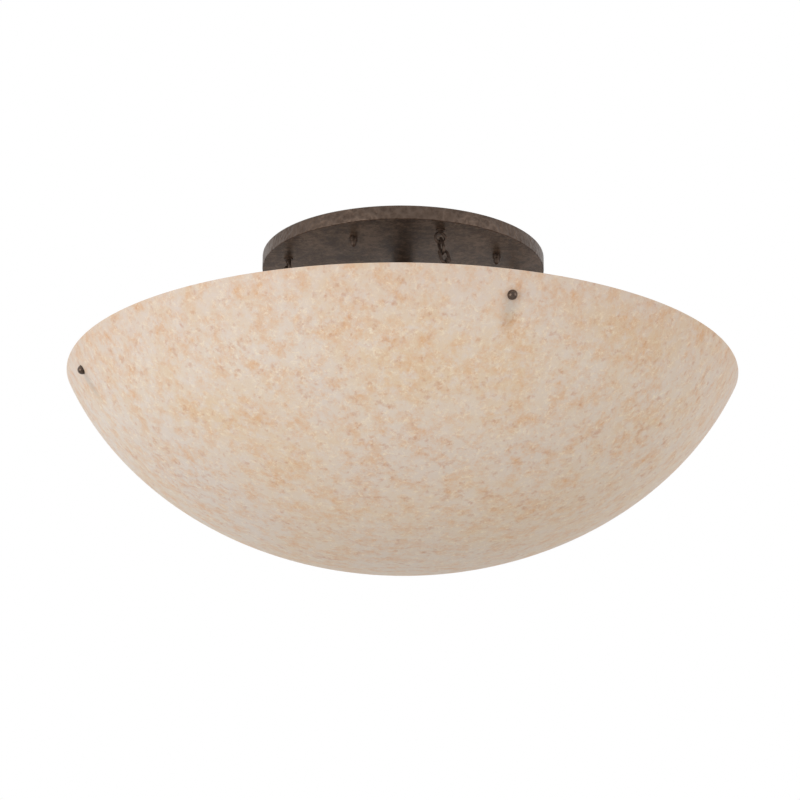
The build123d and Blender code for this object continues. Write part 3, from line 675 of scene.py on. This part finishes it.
def lamp_cap_sheet():
    """A screw cap from its contact to the glass's neck: a button, a cone and a rolled thread, a
    cosine wave of 3.6 mm pitch that fades out at both ends."""
    z = np.linspace(LAMP_FOOT, CAP_END, 120)[:, None]
    angle = full_turn(72)
    body = np.interp(z, [LAMP_FOOT, 9.4, 10.4, 14.5, 16, CAP_END],
                     [4.2, 4.6, 7.2, 12.0, 12.45, 12.5])
    roll = np.interp(z, [15, 18, 34, 36], [0, 0.42, 0.42, 0])
    wall = round_the_axis(body + roll * np.cos(2 * np.pi * z / 3.6 - angle), z, angle)
    return np.concatenate([turned([(0, LAMP_FOOT)], 72), wall, turned([(0, CAP_END)], 72)])


def lamp_glass_sheet():
    """A pear-shaped bulb: a curve through its neck, shoulder, widest ring and dome."""
    knots = [(12.2, 38.2), (12.9, 44), (16.2, 55), (22, 64.5), (27.2, 73.5), (30, 84), (29.2, 94),
             (25.6, 103.5), (19.2, 110.8), (10.6, 115.6), (0, 117)]
    return turned(np.vstack([[(0, 38.2)], smooth_profile(knots, 5)]), 72)


LAMP_PLANES = []
for ray in LAMP_RAYS:
    origin, axes = facing(ray, 0, LAMP_AXIS_Z, LAMP_LEAN)
    LAMP_PLANES.append((origin + CAN_REACH * axes[:, 2], axes))
for number, plane in enumerate(LAMP_PLANES, 1):
    make_piece(f"porcelain_holder_{number}", [placed(holder_sheet(), plane)],
               [f"lampholder_{number}"], porcelain_finish, "holder_porcelain", loops=True)
    make_piece(f"brass_shell_{number}", [placed(shell_sheet(), plane)], [f"screw_shell_{number}"],
               *BRASS, loops=True)
    make_piece(f"screw_cap_{number}", [placed(lamp_cap_sheet(), plane)], [f"lamp_cap_{number}"],
               cap_finish, "lamp_cap_metal", body=f"lamp_{number}", sharp=50)
    make_piece(f"frosted_bulb_{number}", [placed(lamp_glass_sheet(), plane)],
               [f"lamp_glass_{number}"], lamp_finish, "lamp_envelope", body=f"lamp_{number}")
back_nipple = screw_thread(STEM_RADIUS, -16, 5, STEM_PITCH, THREAD_DEPTH, 32, 7, STEM_BORE)
make_piece("holder_back_nipples", [placed(back_nipple, plane) for plane in LAMP_PLANES],
           ["holder_nipples"], *ZINC, loops=True, sharp=60)
contact_button = turned(rounded([(0, HOLDER_FLOOR), (6.6, HOLDER_FLOOR), (6.6, 6.7), (3.4, 7.9),
                                 (0, 7.9)], [0.2, 0.2, 0.8], 4), 48)
make_piece("contact_buttons", [placed(contact_button, plane) for plane in LAMP_PLANES],
           ["holder_contacts"], *BRASS)


# ---- eyes and chains ----
def eye_shank(ring_z, tip_z):
    """An eye bolt's shank: a flared neck at its ring, a rounded collar that lies on the sheet
    7.6 mm from the ring's middle, then a plain round up or down to its tip."""
    way = 1 if tip_z > ring_z else -1
    outline = [(0, 4.1), (2.5, 4.1), (2.35, 4.9), (2.2, 6.2), (3.8, 6.2), (4.1, 6.5), (4.1, 7.3),
               (3.95, 7.6), (SHANK_RADIUS, 7.6)]
    return turned([(r, ring_z + way * z) for r, z in outline]
                  + [(SHANK_RADIUS, tip_z), (0, tip_z)], 48)


def chain_sheets(ray):
    """Wire links along the line between two eyes; every second one lies a quarter turn about it.
    The end links reach past the eyes' middle lines by `hook`, so that wire rests on wire."""
    hook = EYE_WIRE / 2 * (cos(CHAIN_LEAN) + sin(CHAIN_LEAN)) + 0.6
    window = (CHAIN_DROP / cos(CHAIN_LEAN) + 2 * hook + (LINKS - 1) * LINK_GAP) / LINKS
    out = np.array([cos(radians(ray)), sin(radians(ray)), 0.0])
    across = np.array([out[1], -out[0], 0.0])
    line = out * sin(CHAIN_LEAN) - UP * cos(CHAIN_LEAN)
    top = out * EYE_CIRCLE + UP * CHAIN_TOP_Z
    link = wire_loop((window + LINK_WIRE) / 2, (LINK_WIDTH - LINK_WIRE) / 2, LINK_WIRE, 20, 16)
    sheets = []
    for k in range(LINKS):
        middle = top + line * (window / 2 - hook + k * (window - LINK_GAP))
        z = across if k % 2 == 0 else np.cross(line, across)
        sheets.append(placed(link, (middle, np.stack([line, np.cross(z, line), z], axis=1))))
    return sheets


eye_ring = wire_loop(EYE_MIDDLE, EYE_MIDDLE, EYE_WIRE, 40, 18)
for name, circle, ring_z, tip_z in (
        ("canopy_eye", EYE_CIRCLE, CANOPY_EYE_Z, CANOPY_EYE_TIP),
        ("arm_eye", ARM_EYE_CIRCLE, ARM_EYE_Z, ARM_EYE_TIP)):
    make_piece(name + "_rings", [placed(eye_ring, facing(ray, circle, ring_z, 0)) for ray in RAYS],
               [name + "s"], *TRIM, loops=True)
    make_piece(name + "_shanks", [placed(eye_shank(ring_z, tip_z), upright(ray, circle, 0))
                                  for ray in RAYS], [name + "s"], *TRIM)
make_piece("eye_bolt_nuts", [
    placed(nut_sheet(7, 3.2, 1.96), upright(ray, circle, height))
    for circle, height in ((EYE_CIRCLE, CANOPY_EYE_NUT), (ARM_EYE_CIRCLE, ARM_EYE_NUT))
    for ray in RAYS], ["eye_nuts"], *ZINC)
for number, ray in enumerate(RAYS, 1):
    make_piece(f"link_chain_{number}", chain_sheets(ray), [f"chain_{number}"], *TRIM, loops=True)


# ---- ball screws and what lies under them, z = 0 at the seat ----
def ball_screw_sheet():
    """A half ball on a shank: a flat foot, a small round, and a quarter circle up to the pole."""
    turn = np.linspace(0.06, np.pi / 2, 22)
    head = np.stack([BALL_RADIUS * np.cos(turn), BALL_FOOT + BALL_RADIUS * np.sin(turn)], axis=1)
    head[-1, 0] = 0
    shank = [(0, SCREW_TIP), (1.6, SCREW_TIP), (2, SCREW_TIP + 0.4), (2, BALL_FOOT),
             (BALL_RADIUS - 0.15, BALL_FOOT)]
    return turned(np.vstack([shank, head]), 64)


def washer_sheet(radius, foot, top, edge):
    """A flat ring from the shank's clearance out to a radius, its edges rounded."""
    return turned(rounded([(2.3, foot), (radius, foot), (radius, top), (2.3, top), (2.3, foot)],
                          edge, 4), 48)


SEATS = [facing(ray, *SEAT, SEAT_LEAN) for ray in RAYS]
for number, seat in enumerate(SEATS, 1):
    make_piece(f"ball_head_{number}", [placed(ball_screw_sheet(), seat)], [f"ball_screw_{number}"],
               ball_finish, "bronze_finish", body=f"ball_screw_{number}")
# the smooth glass lies 0.88 mm above the flat band that the CAD washers lie on, so these washers
# lie higher, a little sunk into it, and so do the heads
make_piece("seat_washers", [placed(washer_sheet(4.25, 0.62, 1.06, 0.12), seat) for seat in SEATS],
           ["glass_washers"], *RUBBER, loops=True)
make_piece("inner_pads", [placed(washer_sheet(6, -6.4, -5.6, 0.15), seat) for seat in SEATS],
           ["glass_pads"], *RUBBER, loops=True)
make_piece("tab_hex_nuts", [placed(nut_sheet(7, 3.6, 2.06), seat, TAB_NUT) for seat in SEATS],
           ["tab_nuts"], *ZINC)


# ---- carried-over pieces get their finish ----
def coat(node, finish):
    """Puts a finish on a CAD node that stays as it is."""
    for material_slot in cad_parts[node].material_slots:
        material_slot.material = finish


for node in ("arm_1", "arm_2", "arm_3", "arm_4", "arm_plate", "cluster_can", "cluster_cover"):
    coat(node, strap_finish)
coat("mounting_plate", zinc_finish)


# ---- studio ----
def studio():
    """A pale floor far below, a world that is white to the camera and in reflections and dimmer as
    a light, and two soft lamps aimed at the middle of the part."""
    half, floor_z = 9, -3
    plain_light = 0.58
    floor_finish = bpy.data.materials.new("pale_floor")
    floor_finish.use_nodes = True
    shader = floor_finish.node_tree.nodes["Principled BSDF"]
    shader.inputs["Base Color"].default_value = (0.8, 0.8, 0.8, 1)
    mesh = bpy.data.meshes.new("studio_floor")
    mesh.from_pydata([(-half, -half, floor_z), (half, -half, floor_z), (half, half, floor_z),
                      (-half, half, floor_z)], [], [(0, 1, 2, 3)])
    mesh.materials.append(floor_finish)
    floor = bpy.data.objects.new("studio_floor", mesh)
    bpy.context.scene.collection.objects.link(floor)

    world = bpy.data.worlds.new("studio_world")
    bpy.context.scene.world = world
    world.use_nodes = True
    tree = world.node_tree
    tree.nodes.clear()
    ray = tree.nodes.new("ShaderNodeLightPath").outputs
    seen = maths(tree, "ADD", ray["Is Camera Ray"],
                 maths(tree, "ADD", ray["Is Glossy Ray"], ray["Is Transmission Ray"]), True)
    light = step(tree, "Background", {"Color": (1, 1, 1, 1), "Strength": scaled(
        tree, seen, 1 - plain_light, plain_light)})
    out = tree.nodes.new("ShaderNodeOutputWorld")
    tree.links.new(light.outputs[0], out.inputs["Surface"])

    for name, place, size, power, tint in (
            ("key_light", (-2.6, -2.3, -0.9), 2.2, 49, (1.0, 0.97, 0.93)),
            ("fill_light", (2.9, -1.6, -0.3), 2.4, 24, (1.0, 0.98, 0.96))):
        lamp = bpy.data.lights.new(name, "AREA")
        lamp.shape, lamp.size, lamp.energy, lamp.color = "DISK", size, power, tint
        stand = bpy.data.objects.new(name, lamp)
        stand.location = place
        aim = Vector((0, 0, -0.15)) - Vector(place)
        stand.rotation_euler = aim.to_track_quat("-Z", "Y").to_euler()
        bpy.context.scene.collection.objects.link(stand)


def camera():
    """The photograph's view: from below, tilted up at the bowl's rim from 2.29 m, then turned by
    small angles so that the bowl sits where it does in the frame."""
    tilt, distance = radians(18.57), 7.503 * RIM_RADIUS * MM
    yaw, pitch, roll = radians(-0.052), radians(-0.372), radians(0.370)
    place = Vector((0, -distance * cos(tilt), RIM_Z * MM - distance * sin(tilt)))
    ahead, right = Vector((0, cos(tilt), sin(tilt))), Vector((1, 0, 0))
    up = right.cross(ahead)
    ahead = (ahead + right * np.tan(yaw) + up * np.tan(pitch)).normalized()
    right = ahead.cross(Vector((0, 0, 1))).normalized()
    up = right.cross(ahead)
    right, up = right * cos(roll) + up * sin(roll), up * cos(roll) - right * sin(roll)
    axes = Matrix((right, up, -ahead)).transposed()
    data = bpy.data.cameras.new("photo_camera")
    data.sensor_width, data.lens = 36.0, 112.57
    data.clip_start, data.clip_end = 0.05, 60.0
    made = bpy.data.objects.new("photo_camera", data)
    made.matrix_world = Matrix.Translation(place) @ axes.to_4x4()
    bpy.context.scene.collection.objects.link(made)
    bpy.context.scene.camera = made


studio()
camera()
bpy.context.scene.view_settings.view_transform = "Standard"
